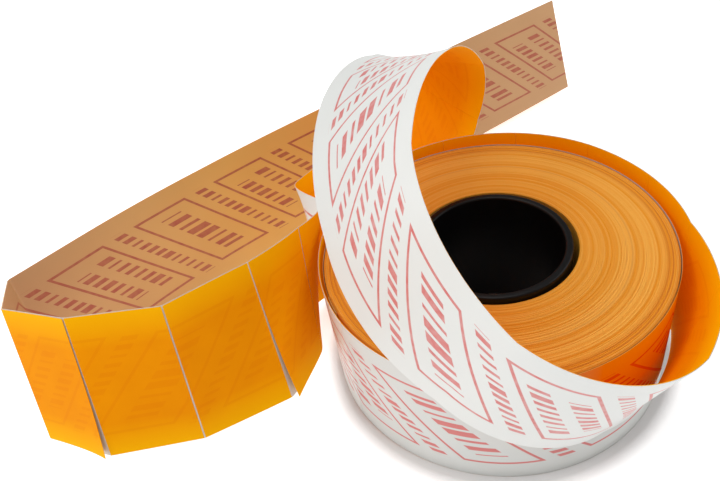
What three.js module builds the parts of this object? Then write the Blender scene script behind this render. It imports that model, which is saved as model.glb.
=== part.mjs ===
// A roll of self-adhesive price labels: a wound pack on a plastic core, and the loose strip that leaves it.
// Millimetres, +Z up. The roll lies on its side, so its axis stands upright.
// The origin is the middle of the bounding box's bottom.
import * as THREE from "three";

// The strip
const STRIP_WIDTH = 26;
const PITCH = 16; // length of one label along the strip
const LINER_THICK = 0.06;
const LABEL_THICK = 0.09;
const GLUE_THICK = 0.03; // between web and label
const DIE_GAP = 0.3; // slit between neighbouring labels
const FOLD_GAP = 0.2; // web left out at a fold line
const JOIN_GAP = 0.02; // between two lengths of web that don't move
const LABEL_MARGIN = 0.15; // label edge set back from the web's edge
const FACETS = 5; // straight facets along one label
const LIFT_ANGLE = 5; // labels that have sprung off the web at a fold, degrees

// The roll
const PACK_RADIUS = 31.8;
const PACK_HOLE = 15.1;
const PACK_EDGE = 0.3; // soft corners of the pack
const CORE_RADIUS = 14.2;
const CORE_WALL = 1.5;
const CORE_HEIGHT = 27;
const CORE_EDGE = 0.4;
const CORE_AT = [-0.45, -0.6]; // the loose core leans on one side of the hole
const ROUND_SEGMENTS = 96;

// The loose strip's course, from where it leaves the pack to its cut end.
// bend turns the strip (towards its labels where negative), twist turns it about its own length, in degrees.
// lifted names the end of a label that has sprung off the web.
const START_ANGLE = 193; // round the pack, from +X
const START_GAP = 0.5; // web to pack
const START_LIFT = 0.5; // lower edge above the table
const COURSE = [
  // snug round the left and the back of the pack
  { labels: 3, bend: -80, twist: 0 },
  { labels: 3, bend: -88, twist: -5 },
  // standing off at the right and the front
  { labels: 2, bend: -47, twist: 0 },
  { labels: 2, bend: -45, twist: -30 },
  { labels: 2, bend: -70, twist: -10 },
  // climbing over the left of the pack
  { labels: 2, bend: -50, twist: 15 },
  { labels: 2, bend: -31, twist: 30 },
  { labels: 2, bend: -30, twist: 25 },
  // over the top and down behind
  { labels: 1, bend: -48, twist: 25 },
  { labels: 1, bend: -70, twist: 0 },
  // forward again beside the pack, and out to the left
  { labels: 2, bend: -35, twist: -43 },
  { labels: 1, bend: -50, twist: -44 },
  { labels: 1, bend: 30, twist: 18 },
  { labels: 1, bend: 15, twist: 7, lifted: "end" },
  // folded back at the die-cut lines
  { labels: 1, fold: 26, twist: -10, hinged: true },
  { labels: 1, fold: 35, twist: 5, hinged: true },
  { labels: 1, fold: 30, hinged: true, lifted: "start" },
  { labels: 1, fold: 45, twist: -10, hinged: true },
  { labels: 1, fold: 50, hinged: true },
  // the long tail
  { labels: 2, bend: 15 },
  { labels: 3, bend: 15, twist: -10 },
  { labels: 4, twist: 15 },
];

const LOOKS = {
  core: [0x0b0b0c, 0.35],
  pack: [0xdf9a3f, 0.8],
  liner: [0xe6e8e2, 0.6],
  label: [0xf79a00, 0.55],
};

function mesh(name, look, geometry) {
  const [color, roughness] = LOOKS[look];
  const made = new THREE.Mesh(geometry, new THREE.MeshStandardMaterial({ color, roughness, metalness: 0 }));
  made.name = name;
  return made;
}

// A frame that travels along the strip's centre line: at, along, across and in (towards the labels).
function startFrame() {
  const angle = THREE.MathUtils.degToRad(START_ANGLE);
  const radius = PACK_RADIUS + START_GAP;
  const at = new THREE.Vector3(radius * Math.cos(angle), radius * Math.sin(angle), START_LIFT + STRIP_WIDTH / 2);
  const along = new THREE.Vector3(Math.sin(angle), -Math.cos(angle), 0);
  const across = new THREE.Vector3(0, 0, 1);
  return { at, along, across, inward: new THREE.Vector3().crossVectors(along, across) };
}

function bendBy(frame, degrees) {
  const angle = THREE.MathUtils.degToRad(degrees);
  frame.along.applyAxisAngle(frame.across, angle);
  frame.inward.applyAxisAngle(frame.across, angle);
}

function twistBy(frame, degrees) {
  const angle = THREE.MathUtils.degToRad(degrees);
  frame.across.applyAxisAngle(frame.along, angle);
  frame.inward.applyAxisAngle(frame.along, angle);
}

function copyOf(frame) {
  return {
    at: frame.at.clone(),
    along: frame.along.clone(),
    across: frame.across.clone(),
    inward: frame.inward.clone(),
  };
}

// The steps along one label: half a slit, the label itself in facets, half a slit.
function stepsAlongLabel() {
  const facet = (PITCH - DIE_GAP) / FACETS;
  return [DIE_GAP / 2, ...Array(FACETS).fill(facet), DIE_GAP / 2];
}

// One entry per label: its stations, whether the strip is hinged there, and which of its ends is lifted.
function followCourse() {
  const frame = startFrame();
  const labels = [];
  for (const { labels: count, fold = 0, bend = 0, twist = 0, hinged = false, lifted } of COURSE) {
    for (let i = 0; i < count; i += 1) {
      bendBy(frame, fold);
      const stations = [copyOf(frame)];
      for (const step of stepsAlongLabel()) {
        const share = step / PITCH / count / 2;
        bendBy(frame, bend * share);
        twistBy(frame, twist * share);
        frame.at.addScaledVector(frame.along, step);
        bendBy(frame, bend * share);
        twistBy(frame, twist * share);
        stations.push(copyOf(frame));
      }
      labels.push({ stations, hinged, lifted });
    }
  }
  return labels;
}

// The station a given distance from one station towards the next.
function between(station, next, distance) {
  const share = distance / station.at.distanceTo(next.at);
  const made = copyOf(station);
  made.at.lerp(next.at, share);
  made.across.lerp(next.across, share).normalize();
  made.inward.lerp(next.inward, share).normalize();
  return made;
}

// The stations with the two ends drawn in along the strip.
function trimmed(stations, startGap, endGap) {
  const last = stations.length - 1;
  const start = between(stations[0], stations[1], startGap);
  const end = between(stations[last], stations[last - 1], endGap);
  return [start, ...stations.slice(1, last), end];
}

// A thin sheet through the stations, from one level above the web's back to another.
function sheet(stations, low, high, width) {
  const points = [];
  for (const { at, across, inward } of stations) {
    for (const [side, level] of [[-1, low], [1, low], [1, high], [-1, high]]) {
      const corner = at.clone().addScaledVector(across, (side * width) / 2).addScaledVector(inward, level);
      points.push(corner.x, corner.y, corner.z);
    }
  }
  const index = [];
  const quad = (a, b, c, d) => index.push(a, c, b, a, d, c);
  const last = 4 * (stations.length - 1);
  for (let ring = 0; ring < last; ring += 4) {
    // both broad faces are split along the same diagonal, so a twisted sheet keeps its thickness
    quad(ring, ring + 4, ring + 5, ring + 1);
    quad(ring + 1, ring + 5, ring + 6, ring + 2);
    quad(ring + 6, ring + 7, ring + 3, ring + 2);
    quad(ring + 3, ring + 7, ring + 4, ring);
  }
  quad(0, 1, 2, 3);
  quad(last + 3, last + 2, last + 1, last);
  const geometry = new THREE.BufferGeometry();
  geometry.setAttribute("position", new THREE.Float32BufferAttribute(points, 3));
  geometry.setIndex(index);
  return geometry;
}

// A label that has sprung up at one end, turned about its other end.
function liftedStations(stations, liftedEnd) {
  const atStart = liftedEnd === "start";
  const stuck = stations[atStart ? stations.length - 1 : 0];
  const angle = THREE.MathUtils.degToRad(atStart ? LIFT_ANGLE : -LIFT_ANGLE);
  return stations.map((station) => {
    const moved = copyOf(station);
    moved.at.sub(stuck.at).applyAxisAngle(stuck.across, angle).add(stuck.at);
    for (const direction of [moved.along, moved.across, moved.inward]) {
      direction.applyAxisAngle(stuck.across, angle);
    }
    return moved;
  });
}

function labelMesh(label, number) {
  const low = LINER_THICK / 2 + GLUE_THICK;
  let stations = label.stations.slice(1, -1);
  if (label.lifted) stations = liftedStations(stations, label.lifted);
  const geometry = sheet(stations, low, low + LABEL_THICK, STRIP_WIDTH - 2 * LABEL_MARGIN);
  return mesh(`label_${String(number).padStart(2, "0")}`, "label", geometry);
}

// The web is cut at every hinged fold, and every few labels where it doesn't move.
const MOST_LABELS_A_LENGTH = 3;

function linerLengths(labels) {
  const lengths = [];
  labels.forEach((label, i) => {
    const open = lengths[lengths.length - 1];
    const full = open && open.labels.length === MOST_LABELS_A_LENGTH;
    if (!open || label.hinged || full) lengths.push({ labels: [label], hinged: label.hinged });
    else open.labels.push(label);
    label.number = i + 1;
  });
  return lengths;
}

function linerMesh(length, next, number) {
  const stations = [];
  for (const label of length.labels) {
    // a fold inside one length takes the mean direction, so the sheet stays even
    if (stations.length) {
      const before = stations.pop();
      const here = copyOf(label.stations[0]);
      here.inward.add(before.inward).normalize();
      stations.push(here, ...label.stations.slice(1));
    } else stations.push(...label.stations);
  }
  const startGap = length.hinged ? FOLD_GAP / 2 : JOIN_GAP / 2;
  const endGap = next && next.hinged ? FOLD_GAP / 2 : JOIN_GAP / 2;
  const cut = trimmed(stations, startGap, endGap);
  const geometry = sheet(cut, -LINER_THICK / 2, LINER_THICK / 2, STRIP_WIDTH);
  return mesh(`liner_${String(number).padStart(2, "0")}`, "liner", geometry);
}

function ring(outer, inner, height, edge) {
  const profile = [
    [inner + edge, 0], [outer - edge, 0], [outer, edge], [outer, height - edge],
    [outer - edge, height], [inner + edge, height], [inner, height - edge], [inner, edge], [inner + edge, 0],
  ].map(([x, y]) => new THREE.Vector2(x, y));
  return new THREE.LatheGeometry(profile, ROUND_SEGMENTS).rotateX(Math.PI / 2);
}

function pack() {
  return mesh("pack", "pack", ring(PACK_RADIUS, PACK_HOLE, STRIP_WIDTH, PACK_EDGE));
}

function core() {
  const tube = ring(CORE_RADIUS, CORE_RADIUS - CORE_WALL, CORE_HEIGHT, CORE_EDGE);
  return mesh("core", "core", tube.translate(CORE_AT[0], CORE_AT[1], 0));
}

// Puts the origin at the middle of the bounding box's bottom.
function centred(group) {
  const box = new THREE.Box3().setFromObject(group, true);
  const middle = box.getCenter(new THREE.Vector3());
  for (const piece of group.children) piece.geometry.translate(-middle.x, -middle.y, -box.min.z);
  return group;
}

function labelRoll() {
  const group = new THREE.Group();
  const labels = followCourse();
  const lengths = linerLengths(labels);
  group.add(core(), pack());
  lengths.forEach((length, i) => group.add(linerMesh(length, lengths[i + 1], i + 1)));
  labels.forEach((label) => group.add(labelMesh(label, label.number)));
  return centred(group);
}

export default labelRoll();
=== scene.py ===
"""A roll of self-adhesive price labels with a loose strip: its looks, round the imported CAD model.

Metres in the row frame, and millimetres in UV maps. A place on the strip is (s, t): s runs along it
from where it leaves the pack, t across it, and a level stands over the middle of the web, towards
the labels.
"""
import math

import bpy
import numpy as np
from mathutils import Matrix, Vector


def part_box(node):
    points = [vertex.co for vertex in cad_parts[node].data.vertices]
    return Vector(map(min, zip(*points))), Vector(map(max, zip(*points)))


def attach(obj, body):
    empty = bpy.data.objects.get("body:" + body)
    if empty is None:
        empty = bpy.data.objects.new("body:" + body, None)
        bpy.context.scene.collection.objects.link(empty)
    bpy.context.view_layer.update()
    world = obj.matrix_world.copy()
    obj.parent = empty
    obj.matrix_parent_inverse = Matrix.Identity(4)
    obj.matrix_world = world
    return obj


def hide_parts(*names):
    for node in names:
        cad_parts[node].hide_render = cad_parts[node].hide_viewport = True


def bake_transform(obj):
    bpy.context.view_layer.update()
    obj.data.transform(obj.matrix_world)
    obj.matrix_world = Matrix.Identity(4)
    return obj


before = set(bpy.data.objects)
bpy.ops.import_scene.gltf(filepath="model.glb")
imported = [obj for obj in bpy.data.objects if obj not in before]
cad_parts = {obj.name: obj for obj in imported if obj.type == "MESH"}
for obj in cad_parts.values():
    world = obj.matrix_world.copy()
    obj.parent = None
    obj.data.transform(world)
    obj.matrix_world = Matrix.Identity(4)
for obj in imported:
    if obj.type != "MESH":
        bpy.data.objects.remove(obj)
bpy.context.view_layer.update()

MM = 0.001

pack_low, pack_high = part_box("pack")
PACK_AT = Vector(((pack_low.x + pack_high.x) / 2, (pack_low.y + pack_high.y) / 2, 0))
PACK_RADIUS = (pack_high.x - pack_low.x) / 2
STRIP_WIDTH = pack_high.z
core_low, core_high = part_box("core")
CORE_AT = Vector(((core_low.x + core_high.x) / 2, (core_low.y + core_high.y) / 2, 0))
CORE_RADIUS = (core_high.x - core_low.x) / 2
CORE_HEIGHT = core_high.z

# The strip, as in the CAD
PITCH = 16 * MM
FACETS = 5
LINER_THICK = 0.06 * MM
LABEL_THICK = 0.09 * MM
GLUE_THICK = 0.03 * MM
LABEL_WIDTH = STRIP_WIDTH - 0.2 * MM
LABEL_LOW = LINER_THICK / 2 + GLUE_THICK
PACK_HOLE = 15.1 * MM
TURNS = 106
WOUND_THICK = 0.155 * MM  # one turn of web and label
SLIT = 0.06 * MM  # between neighbouring labels
CREASE_SLIT = 0.22 * MM
PEEL_SLIT = 0.34 * MM
CREASE_REACH = 0.5 * MM  # web on each side of a fold that bends with it
CREASE_CELLS = 8
START_ANGLE = math.radians(193)
START_GAP = 0.5 * MM
START_LIFT = 0.5 * MM
# (labels, bend, twist, fold) for each stretch, degrees
COURSE = [
    (3, -80, 0, 0),
    (3, -88, -5, 0),
    (2, -47, 0, 0),
    (2, -45, -30, 0),
    (2, -70, -10, 0),
    (2, -50, 15, 0),
    (2, -31, 30, 0),
    (2, -30, 25, 0),
    (1, -48, 25, 0),
    (1, -70, 0, 0),
    (2, -35, -43, 0),
    (1, -50, -44, 0),
    (1, 30, 18, 0),
    (1, 15, 7, 0),
    (1, 0, -10, 26),
    (1, 0, 5, 35),
    (1, 0, 0, 30),
    (1, 0, -10, 45),
    (1, 0, 0, 50),
    (2, 15, 0, 0),
    (3, 15, -10, 0),
    (4, 0, 15, 0),
]
# the web's lengths between its folds: piece, body, first label, last label
LENGTHS = [
    ("web_roll", "roll", 1, 25),
    ("web_a", "strip_a", 26, 26),
    ("web_b", "strip_b", 27, 27),
    ("web_c", "strip_c", 28, 28),
    ("web_d", "strip_d", 29, 29),
    ("web_tail", "tail", 30, 39),
]
FIRST_FOLDED = 26
LAST_FOLDED = 30
# from this label on, the tail's paper carries painted tan light and shade
PAINTED_TAN_FROM = 26
PEELED_FROM_START = (25, 39)
LOOSE_LABELS = (25, 28, 39)

# How finely things are meshed
CROSS_CELLS = 12
CELLS_A_FACET = 4
ROUND_CELLS = 192
WRAP_CELLS = 180


# ---------------------------------------------------------------- camera, light and floor

def make_camera():
    """The camera stands where the photograph was taken from, measured from the pack's foot."""
    data = bpy.data.cameras.new("camera")
    data.sensor_width = 36
    data.lens = 34.77
    data.clip_start = 0.005
    camera = bpy.data.objects.new("camera", data)
    bpy.context.scene.collection.objects.link(camera)
    pan, tilt, roll = (math.radians(a) for a in (-9.696, 90 - 40.87, -11.22))
    turn = Matrix.Rotation(pan, 4, "Z") @ Matrix.Rotation(tilt, 4, "X") @ Matrix.Rotation(roll, 4, "Z")
    camera.matrix_world = Matrix.Translation(PACK_AT + Vector((-39.18, -87.52, 113.32)) * MM) @ turn
    bpy.context.scene.camera = camera


def softbox(name, at, size, power):
    """A square area light that faces the roll, at a place measured from the pack's foot."""
    data = bpy.data.lights.new(name, "AREA")
    data.size = size
    data.energy = power
    light = bpy.data.objects.new(name, data)
    bpy.context.scene.collection.objects.link(light)
    light.location = PACK_AT + Vector(at)
    light.rotation_mode = "QUATERNION"
    light.rotation_quaternion = (-Vector(at)).to_track_quat("-Z", "Y")


def make_light():
    """Soft light from a white studio, with a key from the left. The camera sees plain white."""
    scene = bpy.context.scene
    scene.view_settings.view_transform = "Standard"
    world = bpy.data.worlds.new("studio")
    scene.world = world
    world.use_nodes = True
    nodes, links = world.node_tree.nodes, world.node_tree.links
    back = nodes["Background"]
    back.inputs["Color"].default_value = (1, 1, 1, 1)
    path = nodes.new("ShaderNodeLightPath")
    level = nodes.new("ShaderNodeMapRange")
    level.inputs["To Min"].default_value = 0.3
    level.inputs["To Max"].default_value = 1
    links.new(path.outputs["Is Camera Ray"], level.inputs["Value"])
    links.new(level.outputs["Result"], back.inputs["Strength"])
    softbox("key", (-0.5, 0.05, 0.4), 0.4, 1.7)
    softbox("top", (-0.05, 0.15, 0.6), 0.4, 1.35)
    softbox("right", (0.5, -0.1, 0.35), 0.4, 0.8)


def make_floor():
    half = 1.5
    mesh = bpy.data.meshes.new("floor")
    corners = [(-half, -half, 0), (half, -half, 0), (half, half, 0), (-half, half, 0)]
    mesh.from_pydata(corners, [], [(0, 1, 2, 3)])
    floor = bpy.data.objects.new("floor", mesh)
    floor.location.z = -0.05 * MM
    bpy.context.scene.collection.objects.link(floor)
    # the floor glows a little, except under the roll
    graph = Graph("floor")
    shader = graph.shader
    shader.inputs["Emission Color"].default_value = (1, 1, 1, 1)
    open_floor = graph.ranged(graph.radius_from_pack(), 1.04 * PACK_RADIUS, 1.12 * PACK_RADIUS)
    graph.put(shader.inputs["Emission Strength"], graph.times(open_floor, 0.55))
    mesh.materials.append(graph.look((0.86, 0.86, 0.86, 1), 0.8))


# ---------------------------------------------------------------- shader building

class Graph:
    """A material's node graph, with arithmetic on its values."""

    def __init__(self, name):
        self.material = bpy.data.materials.new(name)
        self.material.use_nodes = True
        self.nodes = self.material.node_tree.nodes
        self.links = self.material.node_tree.links
        self.shader = self.nodes["Principled BSDF"]

    def put(self, socket, value):
        if isinstance(value, bpy.types.NodeSocket):
            self.links.new(value, socket)
        else:
            socket.default_value = value

    def math(self, operation, *values):
        node = self.nodes.new("ShaderNodeMath")
        node.operation = operation
        for socket, value in zip(node.inputs, values):
            self.put(socket, value)
        return node.outputs[0]

    def add(self, a, b):
        return self.math("ADD", a, b)

    def less(self, a, b):
        return self.math("SUBTRACT", a, b)

    def times(self, a, b):
        return self.math("MULTIPLY", a, b)

    def both(self, *values):
        """1 where every mask is 1."""
        made = values[0]
        for value in values[1:]:
            made = self.times(made, value)
        return made

    def either(self, *values):
        """1 where any mask is 1."""
        made = values[0]
        for value in values[1:]:
            made = self.math("MAXIMUM", made, value)
        return made

    def within(self, value, limit, soft=0.04):
        """1 where value lies within limit of zero, with a soft edge."""
        node = self.nodes.new("ShaderNodeMapRange")
        node.interpolation_type = "SMOOTHSTEP"
        self.put(node.inputs["Value"], self.less(self.math("ABSOLUTE", value), limit))
        node.inputs["From Min"].default_value = soft
        node.inputs["From Max"].default_value = -soft
        return node.outputs["Result"]

    def ranged(self, value, low, high, to_low=0.0, to_high=1.0):
        node = self.nodes.new("ShaderNodeMapRange")
        for name, number in (("Value", value), ("From Min", low), ("From Max", high)):
            self.put(node.inputs[name], number)
        node.inputs["To Min"].default_value = to_low
        node.inputs["To Max"].default_value = to_high
        return node.outputs["Result"]

    def mixed(self, share, a, b):
        node = self.nodes.new("ShaderNodeMix")
        node.data_type = "RGBA"
        self.put(node.inputs["Factor"], share)
        self.put(node.inputs[6], a)
        self.put(node.inputs[7], b)
        return node.outputs[2]

    def place(self):
        """The object's own coordinates, in metres."""
        return self.nodes.new("ShaderNodeTexCoord").outputs["Object"]

    def from_pack(self):
        """x and y from the pack's axis, in metres."""
        split = self.nodes.new("ShaderNodeSeparateXYZ")
        self.links.new(self.place(), split.inputs[0])
        return self.less(split.outputs["X"], PACK_AT.x), self.less(split.outputs["Y"], PACK_AT.y)

    def radius_from_pack(self):
        x, y = self.from_pack()
        return self.math("SQRT", self.add(self.times(x, x), self.times(y, y)))

    def strip_place(self):
        """(s, t) in millimetres, from the strip's UV map."""
        node = self.nodes.new("ShaderNodeUVMap")
        node.uv_map = "strip"
        split = self.nodes.new("ShaderNodeSeparateXYZ")
        self.links.new(node.outputs["UV"], split.inputs[0])
        return split.outputs["X"], split.outputs["Y"]

    def noise(self, vector, scale, detail=3, roughness=0.5):
        node = self.nodes.new("ShaderNodeTexNoise")
        self.put(node.inputs["Vector"], vector)
        node.inputs["Scale"].default_value = scale
        node.inputs["Detail"].default_value = detail
        node.inputs["Roughness"].default_value = roughness
        return node.outputs["Fac"]

    def random(self, value):
        node = self.nodes.new("ShaderNodeTexWhiteNoise")
        node.noise_dimensions = "1D"
        self.put(node.inputs["W"], value)
        return node.outputs["Value"]

    def bump(self, height, distance):
        node = self.nodes.new("ShaderNodeBump")
        self.put(node.inputs["Height"], height)
        node.inputs["Distance"].default_value = distance
        self.links.new(node.outputs["Normal"], self.shader.inputs["Normal"])

    def look(self, color, roughness, matte=False):
        self.put(self.shader.inputs["Base Color"], color)
        self.put(self.shader.inputs["Roughness"], roughness)
        if matte:
            self.shader.inputs["Specular IOR Level"].default_value = 0.03
        return self.material


# ---------------------------------------------------------------- the web's generic print, in mm

PRINT_PITCH = 22.06  # from one panel to the next, along the strip
PRINT_START = 235.5  # where one panel starts
PRINT_SLANT = 0.9  # how far the panels lean along the strip, for each millimetre across it
PANEL_WIDE = 14.0
PANEL_HALF = 8.9  # half a panel's reach across the strip
STROKE = 0.5
SQUARE_TO_SLANT = 1 / math.hypot(1, PRINT_SLANT)


def bar_row(graph, u, t, middle, half_high, step, reach, seed):
    """A row of plain upright bars of uneven width, across the strip. It isn't lettering."""
    cell = graph.math("FLOOR", graph.math("DIVIDE", t, step))
    inside = graph.less(t, graph.times(graph.add(cell, 0.5), step))
    width = graph.ranged(graph.random(graph.add(cell, seed)), 0, 1, step * 0.13, step * 0.4)
    upright = graph.within(inside, width)
    tall = graph.within(graph.less(u, middle), half_high / SQUARE_TO_SLANT)
    return graph.both(upright, tall, graph.within(t, reach))


def print_mask(graph):
    """1 where the web carries ink: slanted outlined panels with rows of bars in and between them."""
    s, t = graph.strip_place()
    u = graph.less(graph.less(s, PRINT_START + PANEL_WIDE / 2), graph.times(t, PRINT_SLANT))
    count = graph.math("ROUND", graph.math("DIVIDE", u, PRINT_PITCH))
    across_panel = graph.less(u, graph.times(count, PRINT_PITCH))
    edge = STROKE / SQUARE_TO_SLANT
    outer = graph.both(graph.within(across_panel, PANEL_WIDE / 2), graph.within(t, PANEL_HALF))
    inner = graph.both(
        graph.within(across_panel, PANEL_WIDE / 2 - edge), graph.within(t, PANEL_HALF - STROKE)
    )
    outline = graph.less(outer, inner)
    odd = graph.math("PINGPONG", count, 1)
    even = graph.less(1, odd)
    one_row = graph.times(even, bar_row(graph, across_panel, t, 0, 2.0, 1.9, 6.6, 3))
    row_at = PANEL_WIDE * 0.22
    two_rows = graph.times(
        odd,
        graph.either(
            bar_row(graph, across_panel, t, -row_at, 1.3, 1.6, 5.4, 11),
            bar_row(graph, across_panel, t, row_at, 1.3, 1.6, 6.2, 23),
        ),
    )
    # the rows between panels, half a pitch on
    shifted = graph.less(u, PRINT_PITCH / 2)
    between_count = graph.math("ROUND", graph.math("DIVIDE", shifted, PRINT_PITCH))
    across_gap = graph.less(shifted, graph.times(between_count, PRINT_PITCH))
    between = bar_row(graph, across_gap, t, 0, 1.05, 1.5, 9.3, 37)
    return graph.either(outline, one_row, two_rows, between)


def fibres(graph):
    """The height of paper fibres, for bump."""
    place = graph.place()
    return graph.add(graph.noise(place, 900, 4, 0.65), graph.times(graph.noise(place, 160, 2), 0.6))


def printed_paper():
    """The web's outer side: white glazed paper with pale red print. From label 26 on, along the tail, it
    carries painted light and shade: a dull tan, turning golden over labels 29 to 36.5, for orange light
    shining through the labels and the paper. Its ink is darker there.
    """
    graph = Graph("printed_paper")
    s, _ = graph.strip_place()
    label = graph.math("DIVIDE", s, PITCH / MM)
    # painted light and shade: the tail's paper is tinted tan and gold by its place along the strip, for
    # orange light shining through the paper
    tail = graph.ranged(label, PAINTED_TAN_FROM - 0.5, PAINTED_TAN_FROM + 0.5)
    painted_golden_stretch = graph.times(graph.ranged(label, 29, 32.5), graph.ranged(label, 36.5, 34.5))
    cloud = graph.noise(graph.place(), 60, 3)
    white = graph.mixed(cloud, (0.74, 0.75, 0.72, 1), (0.80, 0.81, 0.79, 1))
    painted_tan_shade = graph.mixed(cloud, (0.58, 0.30, 0.13, 1), (0.66, 0.37, 0.17, 1))
    painted_golden_light = graph.mixed(cloud, (0.78, 0.39, 0.08, 1), (0.86, 0.46, 0.11, 1))
    paper = graph.mixed(tail, white, graph.mixed(painted_golden_stretch, painted_tan_shade, painted_golden_light))
    ink = graph.mixed(tail, (0.66, 0.13, 0.12, 1), (0.46, 0.09, 0.05, 1))
    patchy = graph.ranged(graph.noise(graph.place(), 700, 2), 0.25, 0.75, 0.72, 1.0)
    color = graph.mixed(graph.times(print_mask(graph), patchy), paper, ink)
    graph.bump(fibres(graph), 0.012 * MM)
    return graph.look(color, 0.42)


def wrap_paper():
    """The pack's outermost turn: white, with painted orange bounce light on its right-hand side towards the
    top, between the pack and the loose strip; its ink is reddened there too.
    """
    graph = Graph("wrap_paper")
    out, _ = graph.from_pack()
    right = graph.ranged(out, -0.15 * PACK_RADIUS, 0.1 * PACK_RADIUS)
    _, across = graph.strip_place()
    upper = graph.ranged(across, -4, 3)
    # painted light: orange light bounced off the loose strip's labels, laid on the turn's right-hand upper
    # part
    painted_bounce_mask = graph.times(right, upper)
    cloud = graph.noise(graph.place(), 60, 3)
    white = graph.mixed(cloud, (0.68, 0.69, 0.66, 1), (0.74, 0.75, 0.73, 1))
    painted_bounce_orange = graph.mixed(cloud, (1.0, 0.50, 0.0, 1), (1.0, 0.56, 0.0, 1))
    ink = graph.mixed(painted_bounce_mask, (0.69, 0.15, 0.14, 1), (0.85, 0.13, 0.0, 1))
    paper = graph.mixed(painted_bounce_mask, white, painted_bounce_orange)
    color = graph.mixed(graph.times(print_mask(graph), 0.85), paper, ink)
    graph.bump(fibres(graph), 0.012 * MM)
    return graph.look(color, 0.5, matte=True)


def release_paper():
    """The web's inner side, which the labels lift off: silicone-coated and a little glossy."""
    graph = Graph("release_paper")
    cloud = graph.noise(graph.place(), 80, 3)
    color = graph.mixed(cloud, (0.74, 0.72, 0.70, 1), (0.82, 0.80, 0.78, 1))
    graph.bump(fibres(graph), 0.006 * MM)
    return graph.look(color, 0.3)


def label_paper():
    """Fluorescent orange paper, with painted yellow light towards its long edges. A constant orange
    emission, the same in light and in shade, stands in partly for its fluorescence and partly for light
    shining through the paper.
    """
    graph = Graph("label_paper")
    _, across = graph.strip_place()
    cloud = graph.ranged(graph.noise(graph.place(), 110, 4, 0.6), 0.3, 0.7)
    orange = graph.mixed(cloud, (0.77, 0.265, 0.0, 1), (0.82, 0.30, 0.0, 1))
    # painted light: yellower towards the long edges, for light shining through the thin paper
    edge = graph.ranged(graph.math("ABSOLUTE", across), 7, 13)
    orange = graph.mixed(graph.times(edge, 0.75), orange, (0.92, 0.52, 0.0, 1))
    shown = graph.times(print_mask(graph), 0.17)
    color = graph.mixed(shown, orange, (0.66, 0.12, 0.0, 1))
    graph.bump(fibres(graph), 0.015 * MM)
    # constant orange emission: partly the paper's fluorescence, partly painted light shining through the
    # paper
    graph.shader.inputs["Emission Color"].default_value = (1.0, 0.2, 0.0, 1)
    graph.shader.inputs["Emission Strength"].default_value = 0.16
    return graph.look(color, 0.62, matte=True)


def label_back():
    """A label's glued side."""
    graph = Graph("label_back")
    cloud = graph.noise(graph.place(), 150, 3)
    color = graph.mixed(cloud, (0.93, 0.52, 0.2, 1), (0.97, 0.6, 0.28, 1))
    graph.bump(cloud, 0.01 * MM)
    return graph.look(color, 0.35)


def winding_edges():
    """The pack's face: the cut edges of label and web, turn on turn."""
    graph = Graph("winding_edges")
    x, y = graph.from_pack()
    radius = graph.radius_from_pack()
    angle = graph.math("ARCTAN2", y, x)
    turn = graph.less(
        graph.times(radius, 1 / WOUND_THICK), graph.math("DIVIDE", angle, 2 * math.pi)
    )
    wobble = graph.times(graph.noise(graph.place(), 45, 2), 1.2)
    line = graph.random(graph.math("FLOOR", graph.times(graph.add(turn, wobble), 0.5)))
    coarse = graph.random(graph.math("FLOOR", graph.times(graph.add(turn, wobble), 0.21)))
    tone = graph.add(graph.times(line, 0.55), graph.times(coarse, 0.45))
    color = graph.mixed(tone, (0.88, 0.39, 0.03, 1), (1.0, 0.63, 0.15, 1))
    dark = graph.ranged(line, 0.93, 1.0)
    color = graph.mixed(graph.times(dark, 0.4), color, (0.60, 0.20, 0.04, 1))
    # the outermost turns have sprung apart; painted shade between them shows as dark red lines
    thin = graph.random(graph.math("FLOOR", turn))
    sprung = graph.ranged(radius, 0.90 * PACK_RADIUS, 0.97 * PACK_RADIUS)
    painted_gap_shade = graph.times(sprung, graph.ranged(thin, 0.5, 0.7))
    color = graph.mixed(graph.times(painted_gap_shade, 0.6), color, (0.55, 0.10, 0.01, 1))
    grit = graph.noise(graph.place(), 1200, 3, 0.7)
    graph.bump(graph.add(graph.times(tone, 0.7), graph.times(grit, 0.5)), 0.05 * MM)
    return graph.look(color, 0.75, matte=True)


def black_plastic():
    """The core's moulded black plastic, satin with fine scuffs."""
    graph = Graph("black_plastic")
    place = graph.place()
    scuff = graph.noise(place, 400, 5, 0.7)
    color = graph.mixed(scuff, (0.0015, 0.0015, 0.0018, 1), (0.004, 0.004, 0.0045, 1))
    graph.bump(graph.noise(place, 1500, 3), 0.01 * MM)
    graph.shader.inputs["Specular IOR Level"].default_value = 0.2
    return graph.look(color, graph.ranged(scuff, 0.2, 0.8, 0.3, 0.45))


# ---------------------------------------------------------------- the strip's course

class Station:
    """A place on the strip's centre line, with the directions there."""

    def __init__(self, s, at, along, across):
        self.s = s
        self.at = at
        self.along = along
        self.across = across

    @property
    def inward(self):
        return self.along.cross(self.across).normalized()

    def copy(self):
        return Station(self.s, self.at.copy(), self.along.copy(), self.across.copy())

    def bend(self, degrees):
        self.along.rotate(Matrix.Rotation(math.radians(degrees), 3, self.across))

    def twist(self, degrees):
        self.across.rotate(Matrix.Rotation(math.radians(degrees), 3, self.along))

    def point(self, t, level):
        return self.at + self.across * t + self.inward * level


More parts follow.
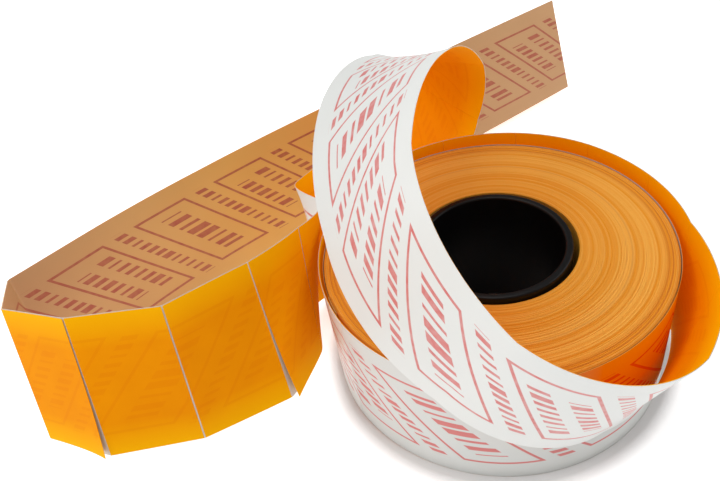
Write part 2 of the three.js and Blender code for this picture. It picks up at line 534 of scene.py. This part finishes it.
def follow_course():
    """Each label's stations, as in the CAD: its start, its facets' ends and its end."""
    radius = PACK_RADIUS + START_GAP
    out = Vector((math.cos(START_ANGLE), math.sin(START_ANGLE), 0))
    here = Station(
        0.0,
        PACK_AT + out * radius + Vector((0, 0, START_LIFT + STRIP_WIDTH / 2)),
        Vector((out.y, -out.x, 0)),
        Vector((0, 0, 1)),
    )
    labels = []
    step = PITCH / FACETS
    for count, bend, twist, fold in COURSE:
        for _ in range(count):
            here.bend(fold)
            stations = [here.copy()]
            for _ in range(FACETS):
                share = 1 / (FACETS * count * 2)
                here.bend(bend * share)
                here.twist(twist * share)
                here.at += here.along * step
                here.s += step
                here.bend(bend * share)
                here.twist(twist * share)
                stations.append(here.copy())
            labels.append(stations)
    return labels


def between(a, b, share):
    """The station a share of the way from a to b, on a smooth curve."""
    reach = (b.at - a.at).length
    u, v = share, 1 - share
    at = (
        a.at * (v * v * (1 + 2 * u))
        + a.along * (reach * u * v * v)
        + b.at * (u * u * (1 + 2 * v))
        - b.along * (reach * u * u * v)
    )
    along = a.along.lerp(b.along, u).normalized()
    across = a.across.lerp(b.across, u)
    across = (across - along * across.dot(along)).normalized()
    return Station(a.s + (b.s - a.s) * u, at, along, across)


def refined(stations, cells):
    made = []
    for a, b in zip(stations, stations[1:]):
        made += [between(a, b, i / cells) for i in range(cells)]
    return made + [stations[-1].copy()]


def cut(stations, start, end):
    """The stations from s = start to s = end."""
    made = []
    for a, b in zip(stations, stations[1:]):
        for limit in (start, end):
            if a.s < limit < b.s:
                made.append(between(a, b, (limit - a.s) / (b.s - a.s)))
        if start <= b.s <= end:
            made.append(b)
    if start <= stations[0].s <= end:
        made.append(stations[0])
    return sorted(made, key=lambda station: station.s)


# ---------------------------------------------------------------- meshes

def put_in_scene(name, mesh, materials):
    for material in materials:
        mesh.materials.append(material)
    mesh.validate()
    mesh.shade_smooth()
    mesh.set_sharp_from_angle(angle=math.radians(40))
    made = bpy.data.objects.new(name, mesh)
    bpy.context.scene.collection.objects.link(made)
    return made


def sheet(name, stations, low, high, width, materials, lift=None):
    """A thin closed sheet through the stations, with the strip's (s, t) as its UV map.

    lift(along, across), both from 0 to 1 over the sheet, raises it off its level.
    The materials are those of the outer side, the inner side and the cut edges.
    """
    columns = CROSS_CELLS + 1
    points = []
    places = []
    for row, station in enumerate(stations):
        for level in (low, high):
            for column in range(columns):
                share = column / CROSS_CELLS
                t = (share - 0.5) * width
                raised = lift(row / (len(stations) - 1), share) if lift else 0
                points.append(station.point(t, level + raised))
                places.append((station.s / MM, t / MM))
    faces = []
    sides = []

    def face(corners, side):
        faces.append(corners)
        sides.append(side)

    stride = 2 * columns
    for row in range(len(stations) - 1):
        a = row * stride
        b = a + stride
        for c in range(CROSS_CELLS):
            face((a + c, b + c, b + c + 1, a + c + 1), 0)
            high_a = a + columns + c
            high_b = b + columns + c
            face((high_a, high_a + 1, high_b + 1, high_b), 1)
        last = CROSS_CELLS
        face((a, a + columns, b + columns, b), 2)
        face((a + last, b + last, b + columns + last, a + columns + last), 2)
    end = (len(stations) - 1) * stride
    for c in range(CROSS_CELLS):
        face((c, c + 1, c + columns + 1, c + columns), 2)
        face((end + c, end + c + columns, end + c + columns + 1, end + c + 1), 2)
    mesh = bpy.data.meshes.new(name)
    mesh.from_pydata(points, [], faces)
    mesh.polygons.foreach_set("material_index", sides)
    uv = mesh.uv_layers.new(name="strip")
    corners = np.zeros(len(mesh.loops), np.int32)
    mesh.loops.foreach_get("vertex_index", corners)
    uv.data.foreach_set("uv", np.array(places, np.float32)[corners].ravel())
    return put_in_scene(name, mesh, materials)


def lathe(name, profile, centre, materials):
    """A closed profile of (radius, height) turned round an upright axis."""
    rings = len(profile)
    points = []
    for i in range(ROUND_CELLS):
        angle = 2 * math.pi * i / ROUND_CELLS
        out = Vector((math.cos(angle), math.sin(angle), 0))
        for radius, height in profile:
            points.append(centre + out * radius + Vector((0, 0, height)))
    faces = []
    for i in range(ROUND_CELLS):
        a = i * rings
        b = (i + 1) % ROUND_CELLS * rings
        for k in range(rings):
            n = (k + 1) % rings
            faces.append((a + k, b + k, b + n, a + n))
    mesh = bpy.data.meshes.new(name)
    mesh.from_pydata(points, [], faces)
    return put_in_scene(name, mesh, materials)


# ---------------------------------------------------------------- the pieces

def rides(piece, body, nodes):
    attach(piece, body)
    if nodes:
        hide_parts(*nodes)
    return piece


def make_core(plastic):
    wall = 1.5 * MM
    lip = 0.45 * MM
    inner = CORE_RADIUS - wall
    profile = []
    for centre_r, centre_z, start in (
        (CORE_RADIUS - lip, lip, -90),
        (CORE_RADIUS - lip, CORE_HEIGHT - lip, 0),
        (inner + lip, CORE_HEIGHT - lip, 90),
        (inner + lip, lip, 180),
    ):
        for i in range(5):
            a = math.radians(start + 22.5 * i)
            profile.append((centre_r + lip * math.cos(a), centre_z + lip * math.sin(a)))
    core = lathe("core_tube", profile, CORE_AT, [plastic])
    return rides(core, "core", ["core"])


def make_pack(edges):
    """The windings, each with its own height, so that the faces show them turn on turn."""
    rng = np.random.default_rng(7)
    outer = PACK_RADIUS - 0.2 * MM
    pitch = (outer - PACK_HOLE) / TURNS
    heights = rng.normal(0, 0.035, TURNS) * MM
    wave = np.cumsum(rng.normal(0, 0.012, TURNS)) * MM
    wave -= np.linspace(wave[0], wave[-1], TURNS)
    valley = 0.09 * MM
    top = []
    for k in range(TURNS):
        height = STRIP_WIDTH - 0.12 * MM + heights[k] + wave[k]
        radius = PACK_HOLE + k * pitch
        top.append((radius, height - valley))
        top.append((radius + pitch * 0.5, height))
    top.append((outer, STRIP_WIDTH - 0.3 * MM))
    bottom = [(radius, STRIP_WIDTH - height) for radius, height in reversed(top)]
    bottom = [(radius, max(height, 0)) for radius, height in bottom]
    pack = lathe("pack_windings", bottom + top, PACK_AT, [edges])
    return rides(pack, "roll", ["pack"])


def wrap_stations():
    """The pack's outermost turn, ending where the loose strip leaves it."""
    made = []
    whole = 2 * math.pi * 0.985
    lift_over = math.radians(45)
    for i in range(WRAP_CELLS + 1):
        back = whole * (1 - i / WRAP_CELLS)
        angle = START_ANGLE + back
        rise = max(0, 1 - back / lift_over) ** 2
        radius = PACK_RADIUS - LINER_THICK / 2 - 0.02 * MM + (START_GAP + LINER_THICK / 2) * rise
        out = Vector((math.cos(angle), math.sin(angle), 0))
        at = PACK_AT + out * radius + Vector((0, 0, STRIP_WIDTH / 2 + START_LIFT * rise))
        along = Vector((out.y, -out.x, 0))
        made.append(Station(-back * PACK_RADIUS, at, along, Vector((0, 0, 1))))
    return made


def make_wrap(papers, labels_paper):
    stations = wrap_stations()
    wrap = sheet("wrap_web", stations, -LINER_THICK / 2, LINER_THICK / 2, STRIP_WIDTH, papers)
    rides(wrap, "roll", [])
    # just under two labels ride on the turn's free end
    inner = cut(stations, -PITCH * 1.99, 0)
    high = LABEL_LOW + LABEL_THICK
    label = sheet("wrap_label", inner, LABEL_LOW, high, LABEL_WIDTH, labels_paper)
    rides(label, "roll", [])


def corner_lift(height, at_start, upper):
    """A label's corner that has come off the web. t runs down on the tail, so upper is t's low side."""

    def lift(along, across):
        near = 1 - along if at_start else along
        return height * near ** 3 * (upper + (1 - upper) * across ** 3)

    return lift


LIFTED = {
    25: corner_lift(1.5 * MM, False, 0.0),
    28: corner_lift(0.9 * MM, True, 0.1),
}


def body_of_label(number):
    if number in LOOSE_LABELS:
        return f"label_{number}"
    return next(body for _, body, first, last in LENGTHS if first <= number <= last)


def slit_before(number):
    """The slit between a label and the one before it, wider where the web folds or a label peels."""
    if FIRST_FOLDED <= number <= LAST_FOLDED:
        return CREASE_SLIT
    if number in PEELED_FROM_START:
        return PEEL_SLIT
    return SLIT


def make_labels(course, papers):
    for index, stations in enumerate(course):
        number = index + 1
        start = index * PITCH + slit_before(number) / 2
        end = (index + 1) * PITCH - slit_before(number + 1) / 2
        fine = cut(refined(stations, CELLS_A_FACET), start, end)
        name = f"paper_label_{number:02d}"
        high = LABEL_LOW + LABEL_THICK
        label = sheet(name, fine, LABEL_LOW, high, LABEL_WIDTH, papers, LIFTED.get(number))
        rides(label, body_of_label(number), [f"label_{number:02d}"])


def web_nodes(first, last):
    """The CAD's lengths of web between two labels, in its own numbering."""
    starts = [1, 4, 7, 10, 13, 16, 19, 22, 25, 26, 27, 28, 29, 30, 33, 36, 39]
    return [f"liner_{i + 1:02d}" for i, start in enumerate(starts) if first <= start <= last]


def make_web(course, papers):
    for k, (name, body, first, last) in enumerate(LENGTHS):
        fine = []
        for index in range(first - 1, last):
            part = refined(course[index], CELLS_A_FACET)
            fine += part[1:] if fine else part
        start = (first - 1) * PITCH + (CREASE_REACH if k else 0)
        end = last * PITCH - (CREASE_REACH if k < len(LENGTHS) - 1 else 0)
        stations = cut(fine, start, end)
        web = sheet(name, stations, -LINER_THICK / 2, LINER_THICK / 2, STRIP_WIDTH, papers)
        rides(web, body, web_nodes(first, last))
        if k:
            make_crease(course, first, papers)


def make_crease(course, label, papers):
    """The short stretch of web that bends at a fold, from one body to the next."""
    at = (label - 1) * PITCH
    a = cut(refined(course[label - 2], CELLS_A_FACET), at - CREASE_REACH, at)[0]
    b = cut(refined(course[label - 1], CELLS_A_FACET), at, at + CREASE_REACH)[-1]
    stations = [between(a, b, i / CREASE_CELLS) for i in range(CREASE_CELLS + 1)]
    name = f"crease_{label}"
    piece = sheet(name, stations, -LINER_THICK / 2, LINER_THICK / 2, STRIP_WIDTH, papers)
    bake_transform(piece)


# ---------------------------------------------------------------- build

make_camera()
make_light()
make_floor()

printed = printed_paper()
release = release_paper()
orange = label_paper()
web_papers = [printed, release, release]
label_papers = [label_back(), orange, orange]
course = follow_course()

make_core(black_plastic())
edges = winding_edges()
make_pack(edges)
make_wrap([wrap_paper(), release, edges], label_papers)
make_web(course, web_papers)
make_labels(course, label_papers)
